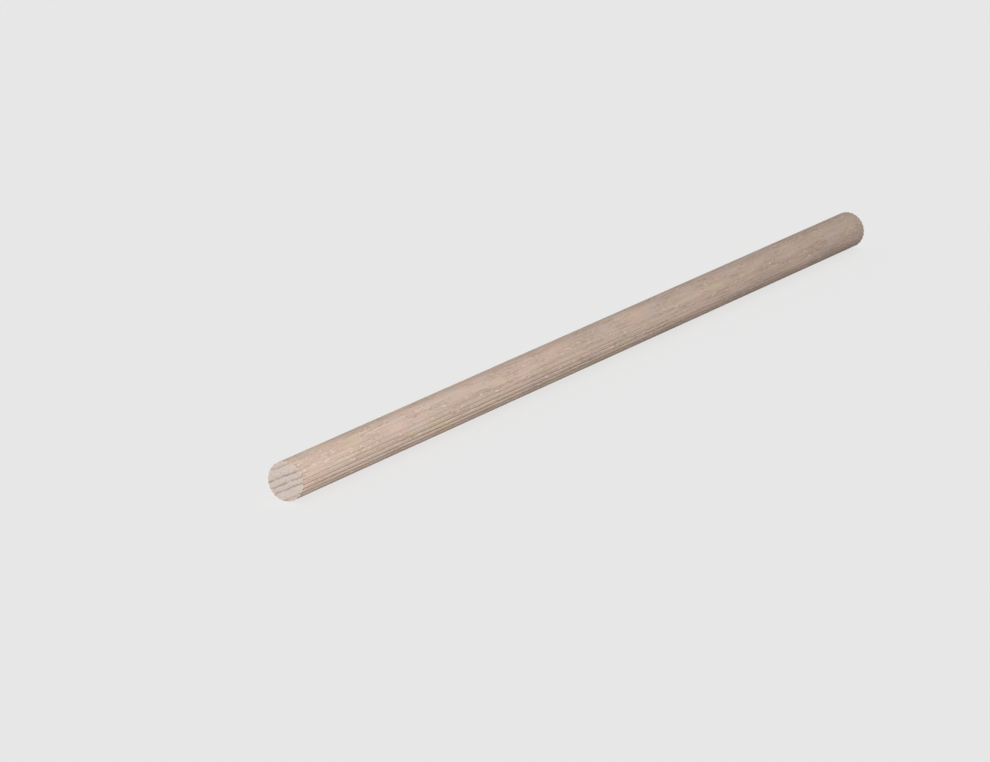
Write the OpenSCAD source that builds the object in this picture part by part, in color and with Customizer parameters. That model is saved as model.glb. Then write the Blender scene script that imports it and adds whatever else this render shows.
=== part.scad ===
// Fluted wooden dowel rod: one round stick with straight flutes along its whole length.
// It lies along X on the ground, on the two ridges beside its lowest flute, with its middle over the origin.

/* [Rod] */
// Diameter over the ridges
rod_d = 10; // [8:0.5:30]
// Length between the two sawn ends
rod_l = 300; // [30:10:2000]

/* [Flutes] */
// Number of flutes round the rod
flute_count = 25; // [7:1:30]
// Width of a flute's mouth, from ridge to ridge
flute_w = 0.72; // [0.5:0.02:1]
// Depth of a flute below the ridges
flute_depth = 0.2; // [0.14:0.02:0.5]
// Radius of the rounded bottom of a flute
root_r = 0.1; // [0.04:0.02:0.14]

/* [Hidden] */
rod_r = rod_d / 2;
// The angle from one flute to the next
pitch_a = 360 / flute_count;
// A flute's mouth is a chord of the round rod, this far from the rod's axis
mouth_h = sqrt(rod_r * rod_r - flute_w * flute_w / 4);
// Distance of a flute's root centre from the rod's axis
root_h = rod_r - flute_depth + root_r;
// A flute's wall runs from the edge of the mouth to a foot just inside the root circle, so that they cross cleanly.
// It touches a circle a hair smaller than the root's there, at this angle above sideways.
foot_r = 0.99 * root_r;
edge = [flute_w / 2, mouth_h];
edge_a = atan2(edge.y - root_h, edge.x);
foot_a = edge_a - acos(foot_r / norm([edge.x, edge.y - root_h]));
foot = [foot_r * cos(foot_a), root_h + foot_r * sin(foot_a)];
// The cutter's walls run on past the mouth for as far again
outer = 2 * edge - foot;
$fn = 96;

// Section of one flute's cutter, with its mouth upwards: a V with a round bottom
module flute_cut() {
    polygon([foot, outer, [-outer.x, outer.y], [-foot.x, foot.y]]);
    translate([0, root_h]) circle(r = root_r, $fn = 24);
}

// Section across the rod, with one flute straight down
module fluted_section() {
    difference() {
        circle(r = rod_r);
        for (i = [0 : flute_count - 1]) rotate(180 + i * pitch_a) flute_cut();
    }
}

// The section stands across X, with the edges of the lowest flute on the ground
module dowel_rod() {
    color("burlywood")
        translate([-rod_l / 2, 0, mouth_h])
        rotate([90, 0, 90])
        linear_extrude(height = rod_l)
        fluted_section();
}

dowel_rod();
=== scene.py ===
import bpy
import numpy as np
from mathutils import Matrix, Vector


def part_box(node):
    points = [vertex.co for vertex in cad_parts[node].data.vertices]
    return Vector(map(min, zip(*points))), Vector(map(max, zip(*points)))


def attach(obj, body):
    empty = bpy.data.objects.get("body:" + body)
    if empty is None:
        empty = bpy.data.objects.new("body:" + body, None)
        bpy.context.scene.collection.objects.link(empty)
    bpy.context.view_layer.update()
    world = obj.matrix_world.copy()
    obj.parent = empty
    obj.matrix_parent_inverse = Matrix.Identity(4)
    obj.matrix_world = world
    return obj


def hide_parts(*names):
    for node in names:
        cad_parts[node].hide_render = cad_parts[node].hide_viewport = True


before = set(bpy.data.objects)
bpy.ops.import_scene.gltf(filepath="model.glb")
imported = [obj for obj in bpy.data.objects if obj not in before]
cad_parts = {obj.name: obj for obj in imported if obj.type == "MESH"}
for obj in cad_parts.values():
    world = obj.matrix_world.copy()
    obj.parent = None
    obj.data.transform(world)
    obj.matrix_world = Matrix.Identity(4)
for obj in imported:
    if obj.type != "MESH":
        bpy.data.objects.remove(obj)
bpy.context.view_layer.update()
print("frame loaded")

# What a user would change about the rod's shape and mesh
rod = {
    "fluteCount": 25,
    "fluteMouth": 0.00072,      # width of a flute from ridge to ridge
    "fluteDepth": 0.0002,
    "rootRadius": 0.0001,       # rounded bottom of a flute
    "sideLoss": 0.76,           # share of their depth that flutes lose between the two deep sides
    "deepSide": -72.0,          # the middle of one deep side, in degrees round from straight down
    "stretchLoss": 0.60,        # share of their depth that flutes lose between the deep stretches
    "deepPlace": 0.075,         # the middle of a deep stretch, from the near end
    "deepWave": 0.390,          # from one deep stretch to the next
    "tornBack": 0.0008,         # length over which the saw's tearing fades away from a sawn end
    "ridgeEase": 0.00001,       # how softly a ridge turns into a flute
    "wander": 0.000008,         # ridges and flutes stray inwards by up to twice this
    "wanderWaves": 6,           # how many sines make up the wander
    "wanderTurns": (1, 9),      # their waves round the rod, from the first to one below the second
    "wanderLengths": (0.02, 0.12),
    "arris": 0.00006,           # width of the worn edge at a sawn end
    "arrisCurve": (1.0, 0.45, 0.12, 0.0),   # how far in it is worn at each of its rings, in that width
    "arrisWear": (0.6, 0.8),    # share of that wear that is everywhere, and how much more the chips add
    "chipWaves": (7, 31),       # waves of the chips round the rim
    "chipPhase": 1.0,
    "ringStep": 0.0017,         # spacing of the mesh rings along the rod
    "bodyStart": 4.0,           # where those rings start behind a sawn end, in widths of the worn edge
    "capRings": (0.25, 0.55, 0.8, 0.95),    # rings across a sawn end, in shares of its radius
    "rootColumns": (0.25, 0.5),             # columns on a flute's bottom, in shares of the root's radius
    "lipColumn": 0.9,           # the column just inside a mouth's edge, as a share of its half width
    "ridgeColumns": (0.12, 0.35, 0.67),     # columns on half a ridge, in shares of its width
    "sharpAngle": 40.0,         # edges that turn by more than this stay sharp, in degrees
    "seed": 7,
}

low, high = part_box("dowel_rod")
rodLength = high.x - low.x
rodHeight = high.z - low.z
# The rod stands on the edges of a flute, a chord of its circle, so its radius follows from its height
rodRadius = (rodHeight ** 2 + rod["fluteMouth"] ** 2 / 4) / (2 * rodHeight)
rodAxis = Vector((0.0, 0.0, high.z - rodRadius))
nearEnd = Vector((low.x, 0.0, rodAxis.z))
flutePitch = 2 * np.pi / rod["fluteCount"]


# One flute at its full depth, by distance from its middle line and height from the rod's axis: where the
# wall meets the round root, the wall's slope, where its line crosses the middle, and the root's centre. The
# wall is a straight line from the mouth's edge that touches the root's circle.
def fluteShape():
    half, root = rod["fluteMouth"] / 2, rod["rootRadius"]
    rootHeight = rodRadius - rod["fluteDepth"] + root
    edge = np.array((half, np.sqrt(rodRadius ** 2 - half ** 2)))
    fromRoot = edge - (0.0, rootHeight)
    touchAngle = np.arctan2(fromRoot[1], fromRoot[0]) - np.arccos(root / np.hypot(*fromRoot))
    touch = np.array((np.cos(touchAngle), np.sin(touchAngle))) * root + (0.0, rootHeight)
    slope = (edge[1] - touch[1]) / (edge[0] - touch[0])
    return touch, slope, touch[1] - slope * touch[0], rootHeight


# How far each flute's root and walls lie above their full depth at each place along the rod. The blank was
# a little oval and ran slowly off the cutter's middle, so its flutes are deepest on two sides and at
# stretches: the share of its depth that one keeps is a wave round the rod times a wave along it. The saw tore
# each of them to its full depth at the two ends, which scallops the rims, and that fades exponentially.
def riseOf(flute, along):
    side = np.cos(2 * (flute * flutePitch - np.radians(rod["deepSide"])))
    stretch = np.cos(2 * np.pi * (along - low.x - rod["deepPlace"]) / rod["deepWave"])
    share = (1 - rod["sideLoss"] * (1 - side) / 2) * (1 - rod["stretchLoss"] * (1 - stretch) / 2)
    torn = np.exp(-(rodLength / 2 - np.abs(along)) / rod["tornBack"])
    return rod["fluteDepth"] * (1 - share) * (1 - torn)


# Distance from the axis of the outline at each angle round from straight down and each place along. A wall
# is a straight line and a root the inner side of a circle, both by their distance at an angle. The lesser of
# the ridge's circle and the flute is taken by a soft minimum, which eases the ridge's edges.
def outlineRadius(angle, along):
    flute = np.round(angle / flutePitch)
    off = np.abs(angle - flute * flutePitch)
    touch, slope, wallHeight, rootHeight = fluteShape()
    rise = riseOf(flute, along)
    wall = (wallHeight + rise) / (np.cos(off) - slope * np.sin(off))
    inside = np.maximum(rod["rootRadius"] ** 2 - ((rootHeight + rise) * np.sin(off)) ** 2, 0.0)
    root = (rootHeight + rise) * np.cos(off) - np.sqrt(inside)
    cut = np.where(off < np.arctan2(touch[0], touch[1] + rise), root, wall)
    ease = rod["ridgeEase"]
    return -ease * np.logaddexp(-rodRadius / ease, -cut / ease)


# Angles of the mesh columns at each place along: close together at each flute's root and at the edges of its
# mouth, which lie where its wall meets the ridge's circle, and wider on the ridge
def columnAngles(along):
    flute = np.arange(rod["fluteCount"])[None, :, None]
    slope, wallHeight = fluteShape()[1:3]
    height = wallHeight + riseOf(flute, along[:, None, None])
    chord = np.sqrt((slope * height) ** 2 - (1 + slope ** 2) * (height ** 2 - rodRadius ** 2))
    mouth = np.arcsin((chord - slope * height) / (1 + slope ** 2) / rodRadius)
    ridge = flutePitch / 2 - mouth
    onRoot = [np.full_like(mouth, rod["rootRadius"] * share / rodRadius) for share in rod["rootColumns"]]
    onWall = [(onRoot[-1] + mouth) / 2, mouth * rod["lipColumn"], mouth]
    onRidge = [mouth + ridge * share for share in rod["ridgeColumns"]]
    half = np.concatenate(onRoot + onWall + onRidge, 2)
    middle, edge = np.zeros_like(mouth), np.full_like(mouth, flutePitch / 2)
    one = np.concatenate((-half[:, :, ::-1], middle, half, edge), 2)
    return (one + flute * flutePitch).reshape(len(along), -1)


# A slow smooth wander between -1 and 1: the mean of a few sines over the angle and the length, each with its
# turns, length and phase from the seed
def wander(angle, along, draws):
    total = np.zeros(np.broadcast(angle, along).shape)
    for wave in range(rod["wanderWaves"]):
        turns = draws.integers(*rod["wanderTurns"])
        length = draws.uniform(*rod["wanderLengths"])
        total += np.sin(turns * angle + 2 * np.pi * along / length + draws.uniform(0, 2 * np.pi))
    return total / rod["wanderWaves"]


# The mesh rings: their places along the rod, the share of the outline that each has, and how far in it is
# worn. They start near the middle of one sawn end, spread out to its rim, run along the rod and close in on
# the middle of the other end. The worn edge's curve is the same both ways, so the distances that its rings
# are worn in, in the opposite order, are those that they lie behind the end.
def ringPlaces():
    half = rodLength / 2
    cap = np.array(rod["capRings"])
    inset = rod["arris"] * np.array(rod["arrisCurve"])
    reach = half - rod["arris"] * rod["bodyStart"]
    body = np.linspace(-reach, reach, int(rodLength / rod["ringStep"]))
    onFace, unworn = np.full(len(cap), half), np.zeros(len(cap))
    along = np.concatenate((-onFace, inset[::-1] - half, body, half - inset, onFace))
    share = np.concatenate((cap, np.ones(2 * len(inset) + len(body)), cap[::-1]))
    worn = np.concatenate((unworn, inset, np.zeros(len(body)), inset[::-1], unworn))
    return along, share, worn


# Points of the rod's skin, ring by ring. Across is the radius times the angle's sine, and up is the axis's
# height less the radius times its cosine. The radius is the outline, less its wander and its chipped wear.
def rodPoints(along, share, worn):
    draws = np.random.default_rng(rod["seed"])
    angle = columnAngles(along)
    slow, quick = rod["chipWaves"]
    chips = 0.5 + 0.5 * np.sin(angle * slow + rod["chipPhase"]) * np.sin(angle * quick)
    leastWear, chipWear = rod["arrisWear"]
    edgeWear = worn[:, None] * (leastWear + chipWear * chips)
    stray = rod["wander"] * (wander(angle, along[:, None], draws) - 1)
    radius = (outlineRadius(angle, along[:, None]) + stray - edgeWear) * share[:, None]
    across = np.sin(angle) * radius
    lift = np.maximum(-np.cos(angle) * radius + rodAxis.z, low.z)      # nothing sinks into the ground
    return np.stack((np.broadcast_to(along[:, None], radius.shape), across, lift), 2)


# Faces of a skin of rings and columns that closes round on itself: four corners between two rings and two
# columns, and at each end a fan to a middle point, which come after the skin's own points
def skinFaces(rings, columns):
    here = np.arange(columns)
    beside = (here + 1) % columns
    first = np.arange(rings - 1)[:, None] * columns
    quads = np.stack((first + here, first + columns + here, first + columns + beside, first + beside), 2)
    nearMiddle = np.full(columns, rings * columns)
    nearFan = np.stack((nearMiddle, here, beside), 1)
    lastRing = (rings - 1) * columns
    farFan = np.stack((nearMiddle + 1, lastRing + beside, lastRing + here), 1)
    corners = np.concatenate((quads.ravel(), nearFan.ravel(), farFan.ravel()))
    sizes = np.concatenate((np.full((rings - 1) * columns, 4), np.full(2 * columns, 3)))
    return corners, sizes


# Rod: one closed skin. The faces of the two sawn ends and their worn edges take the second material.
def makeRod():
    skin = rodPoints(*ringPlaces())
    rings, columns = skin.shape[:2]
    middles = np.array(((-rodLength / 2, 0.0, rodAxis.z), (rodLength / 2, 0.0, rodAxis.z)))
    vertices = np.concatenate((skin.reshape(-1, 3), middles))
    corners, sizes = skinFaces(rings, columns)
    onEnd = np.zeros(rings - 1, int)
    endStrips = len(rod["capRings"]) + len(rod["arrisCurve"]) - 1
    onEnd[:endStrips] = 1
    onEnd[-endStrips:] = 1
    slots = np.concatenate((np.repeat(onEnd, columns), np.ones(2 * columns, int)))
    mesh = bpy.data.meshes.new("dowelRod")
    mesh.vertices.add(len(vertices))
    mesh.vertices.foreach_set("co", vertices.ravel())
    mesh.loops.add(len(corners))
    mesh.loops.foreach_set("vertex_index", corners)
    mesh.polygons.add(len(sizes))
    mesh.polygons.foreach_set("loop_start", np.cumsum(sizes) - sizes)
    mesh.polygons.foreach_set("material_index", slots)
    mesh.update(calc_edges=True)
    mesh.validate()
    mesh.shade_smooth()
    mesh.set_sharp_from_angle(angle=np.radians(rod["sharpAngle"]))
    piece = bpy.data.objects.new("flutedRod", mesh)
    bpy.context.scene.collection.objects.link(piece)
    return piece


flutedRod = makeRod()
print("rod made:", len(flutedRod.data.polygons), "faces")


# Node helpers: a new node, with its values and links given by socket name, or by number after an n
def addNode(tree, kind, settings=None, **sockets):
    node = tree.nodes.new(kind)
    for key, value in (settings or {}).items():
        setattr(node, key, value)
    for key, value in sockets.items():
        name = int(key[1:]) if key[0] == "n" and key[1:].isdigit() else key.replace("_", " ")
        if isinstance(value, bpy.types.NodeSocket):
            tree.links.new(value, node.inputs[name])
        else:
            node.inputs[name].default_value = value
    return node


def calculate(tree, operation, first, second=0.0, clamp=False):
    settings = {"operation": operation, "use_clamp": clamp}
    return addNode(tree, "ShaderNodeMath", settings, n0=first, n1=second).outputs[0]


def times(tree, first, second, clamp=False):
    return calculate(tree, "MULTIPLY", first, second, clamp)


def vectorMath(tree, operation, first, second=(0.0, 0.0, 0.0)):
    node = addNode(tree, "ShaderNodeVectorMath", {"operation": operation}, n0=first, n1=second)
    return node.outputs["Value" if operation in ("LENGTH", "DOT_PRODUCT") else "Vector"]


def separate(tree, vector):
    return addNode(tree, "ShaderNodeSeparateXYZ", {}, n0=vector).outputs


# Runs from start to stop as the value runs from first to last, and no further
def between(tree, value, first, last, start=0.0, stop=1.0, kind="LINEAR"):
    settings = {"interpolation_type": kind}
    return addNode(tree, "ShaderNodeMapRange", settings, Value=value, From_Min=first, From_Max=last,
                   To_Min=start, To_Max=stop).outputs[0]


# Noise over a place whose directions are stretched each by its own number: the smaller, the longer its marks
def noise(tree, place, stretch, detail=2.0, roughness=0.5):
    stretched = vectorMath(tree, "MULTIPLY", place, stretch)
    return addNode(tree, "ShaderNodeTexNoise", {}, Vector=stretched, Scale=1.0, Detail=detail,
                   Roughness=roughness).outputs


def mixColour(tree, factor, first, second):
    settings = {"data_type": "RGBA", "blend_type": "MIX"}
    return addNode(tree, "ShaderNodeMix", settings, n0=factor, n6=first, n7=second).outputs[2]


# Lays a tint over a colour, as strongly as the mask says
def lay(tree, colour, mask, tint):
    return mixColour(tree, mask, colour, (*tint, 1))


def newGroup(name, inputs, outputs):
    group = bpy.data.node_groups.new(name, "ShaderNodeTree")
    for label, kind in inputs.items():
        group.interface.new_socket(label, in_out="INPUT", socket_type=kind)
    for label, kind in outputs.items():
        group.interface.new_socket(label, in_out="OUTPUT", socket_type=kind)
    return group, group.nodes.new("NodeGroupInput").outputs, group.nodes.new("NodeGroupOutput").inputs


def placeGroup(tree, group, **sockets):
    return addNode(tree, "ShaderNodeGroup", {"node_tree": group}, **sockets).outputs


# The wood, in millimetres of its own grain: along the rod, out from the pith, and round the pith
beech = {
    "pithSide": (0.4305, 0.9026),           # towards the pith, along Y and Z
    "pithAway": 60.0,                       # from the rod's axis
    "bendStretch": (0.012, 0.08, 0.08),
    "bend": (0.0, 2.0, 2.0),                # full width of the grain's bends, along X, Y and Z
    "rings": (                              # each year's end, from the pith, and how dark it is
        (56.2, 0.6), (58.75, 1.0), (60.6, 0.8), (62.2, 0.9), (64.5, 0.8)),
    "ringSpan": 8.0,                        # how far from the rod's axis, in and out, rings are drawn
    "ringStretch": (0.01, 0.55, 0.55),
    "ringWaver": (0.2, 0.8, -0.24, 0.24),   # two values of the noise, and how far a ring moves at each
    "ringFade": (0.38, 0.58, 0.45, 1.0),    # two values of the noise, and a ring's strength at each
    "ringLine": (0.46, 0.14, 0.24),         # how far before a year's end its line starts and is full, and
                                            # how far after it the line is gone
    "ringLate": (1.3, 0.05, 0.12),          # the same for the darker late growth
    "darkFlecks": {"Cell": (3.6, 1.5, 0.50), "Size": 0.28, "Shift": 0.0},
    "paleFlecks": {"Cell": (4.4, 1.8, 0.52), "Size": 0.24, "Shift": 3.7},
    "fleckHeart": 0.55,                     # share of a fleck's size that has its full strength
    "fibres": {                             # how each is stretched, and its detail
        "Streak": ((0.06, 2.3, 2.3), 2.0),
        "Drift": ((0.085, 0.26, 0.26), 2.0),
        "Patch": ((0.10, 0.25, 0.25), 2.0),
        "Tone": ((0.045, 0.34, 0.34), 2.0),
        "Busy": ((0.07, 0.42, 0.42), 1.0),
        "Pores": ((0.65, 2.6, 2.6), 2.0),
    },
    "noiseRoughness": 0.6,
    "ringColour": (0.230, 0.165, 0.130),
    "fleckColour": (0.330, 0.215, 0.155),
    "paleColour": (0.740, 0.640, 0.535),
}

inMillimetres = 1000.0                      # a metre


# Grain place: turns a point on the rod into millimetres of the wood's own grain, as a slightly wavering
# (along the rod, out from the pith, round the pith). Out is the distance from the pith, and round is the
# angle about it times the pith's distance from the rod's axis.
def grainPlaceGroup():
    group, inside, outside = newGroup(
        "grainPlace", {"Point": "NodeSocketVector"}, {"Place": "NodeSocketVector"})
    point = vectorMath(group, "MULTIPLY", inside["Point"], (inMillimetres,) * 3)
    unevenness = noise(group, point, beech["bendStretch"])["Color"]
    bend = vectorMath(group, "MULTIPLY", vectorMath(group, "SUBTRACT", unevenness, (0.5,) * 3), beech["bend"])
    sideY, sideZ = beech["pithSide"]
    pith = (0, sideY * beech["pithAway"], rodAxis.z * inMillimetres + sideZ * beech["pithAway"])
    away = vectorMath(group, "ADD", vectorMath(group, "SUBTRACT", point, pith), bend)
    out = vectorMath(group, "DOT_PRODUCT", away, (0, -sideY, -sideZ))
    over = vectorMath(group, "DOT_PRODUCT", away, (0, -sideZ, sideY))
    squares = calculate(group, "ADD", times(group, out, out), times(group, over, over))
    radial = calculate(group, "SQRT", squares)
    arc = times(group, calculate(group, "ARCTAN2", over, out), beech["pithAway"])
    place = addNode(group, "ShaderNodeCombineXYZ", {}, n0=separate(group, point)[0], n1=radial, n2=arc)
    group.links.new(place.outputs[0], outside["Place"])
    return group


# Annual rings: darkens slowly out to the end of each year's growth, then turns pale at once. The lines waver
# a little and are fainter in places.
def annualRingsGroup():
    kinds = {"Line": beech["ringLine"], "Late": beech["ringLate"]}
    group, inside, outside = newGroup(
        "annualRings", {"Place": "NodeSocketVector"}, dict.fromkeys(kinds, "NodeSocketFloat"))
    uneven = noise(group, inside["Place"], beech["ringStretch"], roughness=beech["noiseRoughness"])
    shift = between(group, uneven[0], *beech["ringWaver"])
    strong = between(group, separate(group, uneven["Color"])[2], *beech["ringFade"])
    radial = calculate(group, "ADD", separate(group, inside["Place"])[1], shift)
    first, last = beech["pithAway"] - beech["ringSpan"], beech["pithAway"] + beech["ringSpan"]
    share = between(group, radial, first, last)
    for name, (before, peak, after) in kinds.items():
        ramp = addNode(group, "ShaderNodeValToRGB", {}, Fac=share)
        stops = ramp.color_ramp.elements
        for ring, strength in beech["rings"]:
            for offset, value in ((-before, 0.0), (-peak, strength), (0.0, strength), (after, 0.0)):
                stop = stops.new((ring + offset - first) / (last - first))
                stop.color = (value, value, value, 1)
        stops.remove(stops[0])
        stops[len(stops) - 1].color = (0, 0, 0, 1)
        group.links.new(times(group, ramp.outputs["Color"], strong), outside[name])
    return group


# Ray flecks: scattered spindles, one to a cell of the given size in the grain's own directions
def rayFlecksGroup():
    inputs = {"Place": "NodeSocketVector", "Cell": "NodeSocketVector",
              "Size": "NodeSocketFloat", "Shift": "NodeSocketFloat"}
    group, inside, outside = newGroup("rayFlecks", inputs, {"Fleck": "NodeSocketFloat"})
    scaled = vectorMath(group, "DIVIDE", inside["Place"], inside["Cell"])
    moved = vectorMath(group, "ADD", scaled, inside["Shift"])
    cells = addNode(group, "ShaderNodeTexVoronoi", {}, Vector=moved, Scale=1.0)
    heart = times(group, inside["Size"], beech["fleckHeart"])
    fleck = between(group, cells.outputs["Distance"], inside["Size"], heart, kind="SMOOTHSTEP")
    group.links.new(fleck, outside["Fleck"])
    return group


# Fibre: long fine streaks along the grain, a slower drift and patches of tint, a slow change of tone, how
# rough or smooth each patch's fine marks are, and short dashes
def fibreGroup():
    kinds = beech["fibres"]
    group, inside, outside = newGroup(
        "fibre", {"Place": "NodeSocketVector"}, dict.fromkeys(kinds, "NodeSocketFloat"))
    for name, (stretch, detail) in kinds.items():
        marks = noise(group, inside["Place"], stretch, detail, beech["noiseRoughness"])
        group.links.new(marks[0], outside[name])
    return group


grainPlace = grainPlaceGroup()
annualRings = annualRingsGroup()
rayFlecks = rayFlecksGroup()
fibre = fibreGroup()


def newMaterial(name):
    material = bpy.data.materials.new(name)
    material.use_nodes = True
    tree = material.node_tree
    return material, tree, tree.nodes["Principled BSDF"]


# What both finishes start from: the point on the rod, its place in the grain, and the marks there
def grain(tree):
    point = addNode(tree, "ShaderNodeTexCoord").outputs["Object"]
    place = placeGroup(tree, grainPlace, Point=point)["Place"]
    rings = placeGroup(tree, annualRings, Place=place)
    fibres = placeGroup(tree, fibre, Place=place)
    pale = placeGroup(tree, rayFlecks, Place=place, **beech["paleFlecks"])["Fleck"]
    return point, place, rings, fibres, pale


# Gives a finish its colour, roughness, gloss and relief, which rises with one noise and falls with the pores
def finishWood(tree, shader, finish, colour, rough, raised, pores):
    overPores, underPores = finish["relief"]
    height = calculate(tree, "SUBTRACT", times(tree, raised, overPores), times(tree, pores, underPores))
    bump = addNode(tree, "ShaderNodeBump", {}, Strength=finish["bumpStrength"],
                   Distance=finish["bumpDistance"], Height=height)
    tree.links.new(colour, shader.inputs["Base Color"])
    tree.links.new(rough, shader.inputs["Roughness"])
    tree.links.new(bump.outputs[0], shader.inputs["Normal"])
    shader.inputs["Specular IOR Level"].default_value = finish["specular"]


# The side's finish. Four numbers are two values of a noise, and what is made of it at each.
sideFinish = {
    "colour": (0.556, 0.459, 0.420),
    "straw": (0.576, 0.469, 0.347),
    "pink": (0.624, 0.458, 0.386),
    "streak": (0.460, 0.340, 0.275),
    "flute": (0.300, 0.215, 0.165),         # painted shade in the bottom of a flute
    "strawMask": (0.38, 0.60, 0.0, 1.0),
    "pinkMask": (0.44, 0.60, 0.0, 0.9),
    "toneMask": (0.38, 0.62, 0.0, 0.37),
    "busy": (0.38, 0.62, 0.30, 1.60),       # strength of the fine marks, in smoother and rougher patches
    "streakMask": (0.40, 0.62, 0.0, 0.74),
    "darkPoreMask": (0.52, 0.72, 0.0, 0.19),
    "palePoreMask": (0.48, 0.28, 0.0, 0.31),
    "ringShare": 0.15,                      # how strong rings, pale flecks and dark flecks are
    "paleShare": 0.36,
    "darkShare": 0.31,
    "fluteShade": (0.08, 0.20),             # how deep in a flute the painted shade starts and is darkest, in millimetres
    "sawnReach": (0.050, 0.005),            # how far from a sawn end the painted flute shade starts to grow and is strongest
    "sawnShade": (0.80, 1.45),              # its strength there
    "roughness": (0.3, 0.7, 0.62, 0.78),
    "fleckGloss": 0.12,                     # how much less rough a pale fleck is
    "specular": 0.15,
    "relief": (0.6, 0.5),                   # height of the streaks, and depth of the pores
    "bumpStrength": 0.35,
    "bumpDistance": 0.00006,
}


# How strongly the painted shade in the flutes shows: by the square of how deep a point lies below the
# ridges, taken from its distance to the rod's axis, and more so close to the sawn ends
def paintedFluteShade(tree, point):
    fromAxis = vectorMath(tree, "SUBTRACT", point, rodAxis)
    fromAxis = vectorMath(tree, "MULTIPLY", fromAxis, (0, inMillimetres, inMillimetres))
    starts, darkest = (rodRadius * inMillimetres - depth for depth in sideFinish["fluteShade"])
    deep = between(tree, vectorMath(tree, "LENGTH", fromAxis), starts, darkest)
    fromMiddle = calculate(tree, "ABSOLUTE", separate(tree, point)[0])
    grows, strongest = (rodLength / 2 - reach for reach in sideFinish["sawnReach"])
    sawn = between(tree, fromMiddle, grows, strongest, *sideFinish["sawnShade"])
    return times(tree, times(tree, deep, deep), sawn, clamp=True)


# Side: planed long grain. Its tone drifts from pink to straw and from light to dark, with faint rings, and
# with streaks, ray flecks and pores in rougher and smoother patches. The flutes' bottoms carry painted shade.
def sideMaterial():
    material, tree, shader = newMaterial("beechSide")
    point, place, rings, fibres, pale = grain(tree)
    dark = placeGroup(tree, rayFlecks, Place=place, **beech["darkFlecks"])["Fleck"]
    busy = between(tree, fibres["Busy"], *sideFinish["busy"])
    straw = between(tree, fibres["Drift"], *sideFinish["strawMask"])
    pink = between(tree, fibres["Patch"], *sideFinish["pinkMask"])
    tone = between(tree, fibres["Tone"], *sideFinish["toneMask"])
    streaks = times(tree, between(tree, fibres["Streak"], *sideFinish["streakMask"]), busy)
    late = times(tree, rings["Late"], sideFinish["ringShare"])
    paleFlecks = times(tree, times(tree, pale, sideFinish["paleShare"]), busy)
    darkFlecks = times(tree, times(tree, dark, sideFinish["darkShare"]), busy)
    darkPores = times(tree, between(tree, fibres["Pores"], *sideFinish["darkPoreMask"]), busy)
    palePores = times(tree, between(tree, fibres["Pores"], *sideFinish["palePoreMask"]), busy)
    colour = (*sideFinish["colour"], 1)
    # the last tint is painted shade in the bottoms of the flutes
    for mask, tint in (
            (straw, sideFinish["straw"]), (pink, sideFinish["pink"]), (tone, sideFinish["streak"]),
            (streaks, sideFinish["streak"]), (late, beech["ringColour"]), (paleFlecks, beech["paleColour"]),
            (darkFlecks, beech["fleckColour"]), (darkPores, beech["fleckColour"]),
            (palePores, beech["paleColour"]), (paintedFluteShade(tree, point), sideFinish["flute"])):
        colour = lay(tree, colour, mask, tint)
    rough = between(tree, fibres["Streak"], *sideFinish["roughness"])
    rough = calculate(tree, "SUBTRACT", rough, times(tree, pale, sideFinish["fleckGloss"]))
    finishWood(tree, shader, sideFinish, colour, rough, fibres["Streak"], fibres["Pores"])
    return material


# The sawn ends' finish
endFinish = {
    "colour": (0.592, 0.502, 0.464),
    "streak": (0.580, 0.504, 0.436),
    "streakMask": (0.42, 0.58, 0.0, 1.0),
    "poreMask": (0.5, 0.7, 0.0, 0.35),
    "ringShare": 0.16,                      # how strong the late growth, the ring lines and pale flecks are
    "lineShare": 0.72,
    "paleShare": 0.30,
    "sawStretch": (0, 900, 9000),           # of the saw marks, in metres, which run across the end
    "roughness": (0.3, 0.7, 0.75, 0.9),
    "specular": 0.2,
    "relief": (0.7, 0.8),                   # height of the saw marks, and depth of the pores
    "bumpStrength": 0.4,
    "bumpDistance": 0.00008,
}


# End: sawn end grain. Patches of two tints, clear ring lines, pale flecks, pores and faint saw marks
def endMaterial():
    material, tree, shader = newMaterial("beechEnd")
    point, place, rings, fibres, pale = grain(tree)
    patches = between(tree, fibres["Patch"], *endFinish["streakMask"])
    late = times(tree, rings["Late"], endFinish["ringShare"])
    lines = times(tree, rings["Line"], endFinish["lineShare"])
    paleFlecks = times(tree, pale, endFinish["paleShare"])
    pores = between(tree, fibres["Pores"], *endFinish["poreMask"])
    colour = (*endFinish["colour"], 1)
    for mask, tint in (
            (patches, endFinish["streak"]), (late, beech["ringColour"]), (lines, beech["ringColour"]),
            (paleFlecks, beech["paleColour"]), (pores, beech["fleckColour"])):
        colour = lay(tree, colour, mask, tint)
    saw = noise(tree, point, endFinish["sawStretch"])[0]
    rough = between(tree, saw, *endFinish["roughness"])
    finishWood(tree, shader, endFinish, colour, rough, saw, fibres["Pores"])
    return material


flutedRod.data.materials.append(sideMaterial())
flutedRod.data.materials.append(endMaterial())
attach(flutedRod, "root")
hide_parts("dowel_rod")
print("rod finished in beech")

photo = {
    "size": (990, 762),
    "nearEnd": (285.6, 481.5),  # pixel of the middle of the near end
    "nearDepth": 1.492,         # how far that point lies in front of the camera
    "lens": 225.0,
    "clip": (0.05, 50.0),       # nearest and furthest that the camera sees
    "elevation": 14.93,         # how far the camera looks down, in degrees
    "turn": 30.0,               # how far the rod points to the right of the view, in degrees
}


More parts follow.
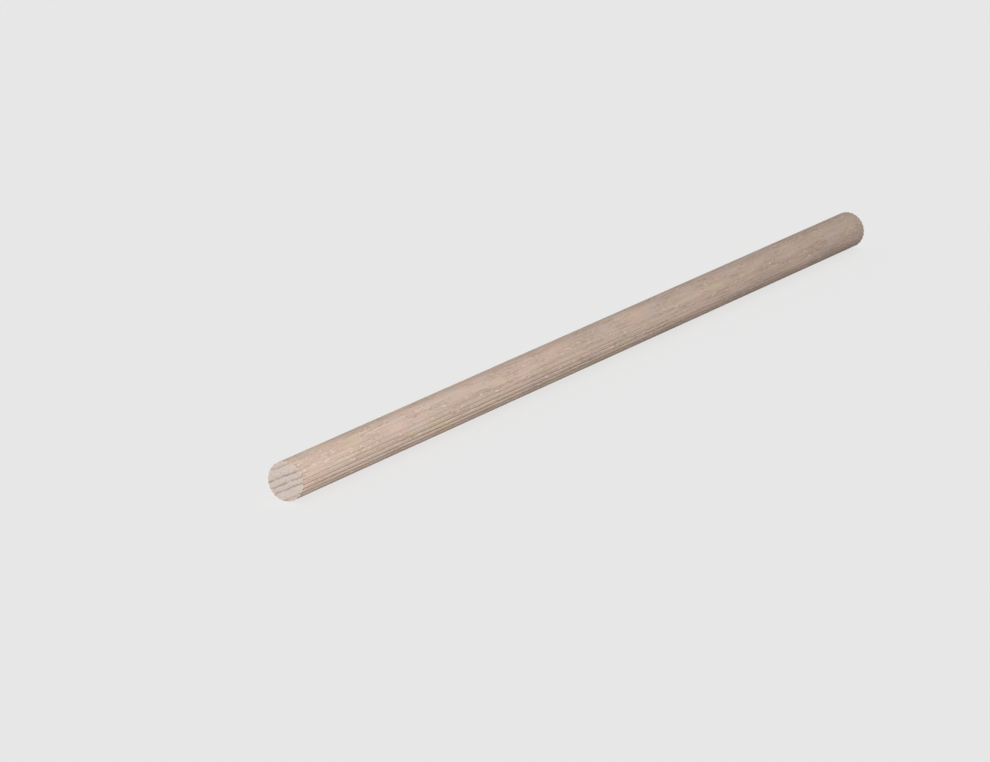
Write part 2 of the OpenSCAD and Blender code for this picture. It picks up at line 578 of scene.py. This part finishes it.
# Camera: turned and tilted by the two angles, and set back along the ray through the near end's pixel
def makeCamera():
    width, height = photo["size"]
    turn, tilt = np.radians(photo["turn"]), np.radians(photo["elevation"])
    ahead = Vector((np.cos(turn), np.sin(turn), 0.0)) * np.cos(tilt) - Vector((0.0, 0.0, np.sin(tilt)))
    right = Vector((np.sin(turn), -np.cos(turn), 0.0))
    up = right.cross(ahead)
    data = bpy.data.cameras.new("camera")
    data.lens = photo["lens"]
    data.clip_start, data.clip_end = photo["clip"]
    pixels = photo["lens"] / data.sensor_width * width
    across = (photo["nearEnd"][0] - width / 2) / pixels
    down = (photo["nearEnd"][1] - height / 2) / pixels
    ray = ahead + right * across - up * down
    camera = bpy.data.objects.new("camera", data)
    bpy.context.scene.collection.objects.link(camera)
    turned = Matrix((right, up, -ahead)).transposed().to_4x4()
    camera.matrix_world = Matrix.Translation(nearEnd - ray * photo["nearDepth"]) @ turned
    bpy.context.scene.camera = camera


makeCamera()
print("camera placed")

surround = {
    "floorHalf": 40.0,          # half of the floor's width
    "floorSeen": 0.80,          # the floor's own paleness, and the sky's as the camera sees it
    "shadowShare": 0.40,        # how much of what the camera sees of the floor is lit, and so takes a shadow
    "floorGlow": 1.148,         # how brightly the rest of it glows
    "floorBounce": 0.03,        # what the floor throws back on the rod
    "sky": 0.345,               # how brightly the sky lights the rod and the floor
}


def grey(level):
    return level, level, level, 1


# Floor: pale as seen, darker to light that bounces, and it keeps a light shadow
def makeFloor():
    half = surround["floorHalf"]
    mesh = bpy.data.meshes.new("floor")
    corners = [(-half, -half, 0), (half, -half, 0), (half, half, 0), (-half, half, 0)]
    mesh.from_pydata(corners, [], [(0, 1, 2, 3)])
    floor = bpy.data.objects.new("floor", mesh)
    bpy.context.scene.collection.objects.link(floor)
    material, tree, shader = newMaterial("paleFloor")
    tree.nodes.remove(shader)
    glow = addNode(tree, "ShaderNodeEmission", {}, Color=grey(1), Strength=surround["floorGlow"])
    lit = addNode(tree, "ShaderNodeBsdfDiffuse", {}, Color=grey(surround["floorSeen"]))
    dull = addNode(tree, "ShaderNodeEmission", {}, Color=grey(surround["floorBounce"]), Strength=1.0)
    shown = addNode(tree, "ShaderNodeMixShader", {},
                    n0=surround["shadowShare"], n1=glow.outputs[0], n2=lit.outputs[0])
    path = addNode(tree, "ShaderNodeLightPath").outputs
    looked = calculate(tree, "ADD", path["Is Camera Ray"], path["Is Glossy Ray"], clamp=True)
    both = addNode(tree, "ShaderNodeMixShader", {}, n0=looked, n1=dull.outputs[0], n2=shown.outputs[0])
    tree.links.new(both.outputs[0], tree.nodes["Material Output"].inputs["Surface"])
    mesh.materials.append(material)


# Sky: even light from above, shown as the same pale grey as the floor
def makeSky():
    world = bpy.data.worlds.new("sky")
    bpy.context.scene.world = world
    world.use_nodes = True
    tree = world.node_tree
    seen = addNode(tree, "ShaderNodeLightPath").outputs["Is Camera Ray"]
    colour = mixColour(tree, seen, grey(surround["sky"]), grey(surround["floorSeen"]))
    tree.links.new(colour, tree.nodes["Background"].inputs["Color"])


# Each lamp is placed from the near end: how much of its direction runs back along the rod, its height across
# the rod in degrees from the side the camera sees, and its distance, size and power
lamps = {
    "keyLamp": {"along": 0.60, "rise": 45.0, "away": 0.80, "size": 0.40, "power": 7.60},
    "cardLamp": {"along": 0.60, "rise": -35.0, "away": 0.60, "size": 0.30, "power": 1.75},
    "backLamp": {"along": -0.62, "rise": 204.0, "away": 1.50, "size": 0.50, "power": 26.0},
}


# A lamp near the rod, which fades along it. It lights the rod only, and through the floor, so that the floor
# stays even.
def makeLamp(name, values, only):
    along, rise = values["along"], np.radians(values["rise"])
    across = np.sqrt(1 - along ** 2)
    towards = Vector((-along, -across * np.cos(rise), across * np.sin(rise)))
    data = bpy.data.lights.new(name, "AREA")
    data.energy = values["power"]
    data.size = values["size"]
    lamp = bpy.data.objects.new(name, data)
    bpy.context.scene.collection.objects.link(lamp)
    lamp.location = nearEnd + towards * values["away"]
    lamp.rotation_euler = towards.to_track_quat("Z", "Y").to_euler()
    lamp.visible_camera = False
    lamp.light_linking.receiver_collection = only
    lamp.light_linking.blocker_collection = only


makeFloor()
makeSky()
rodOnly = bpy.data.collections.new("rodOnly")
rodOnly.objects.link(flutedRod)
for name, values in lamps.items():
    makeLamp(name, values, rodOnly)
bpy.context.scene.view_settings.view_transform = "Standard"
print("floor and light set")
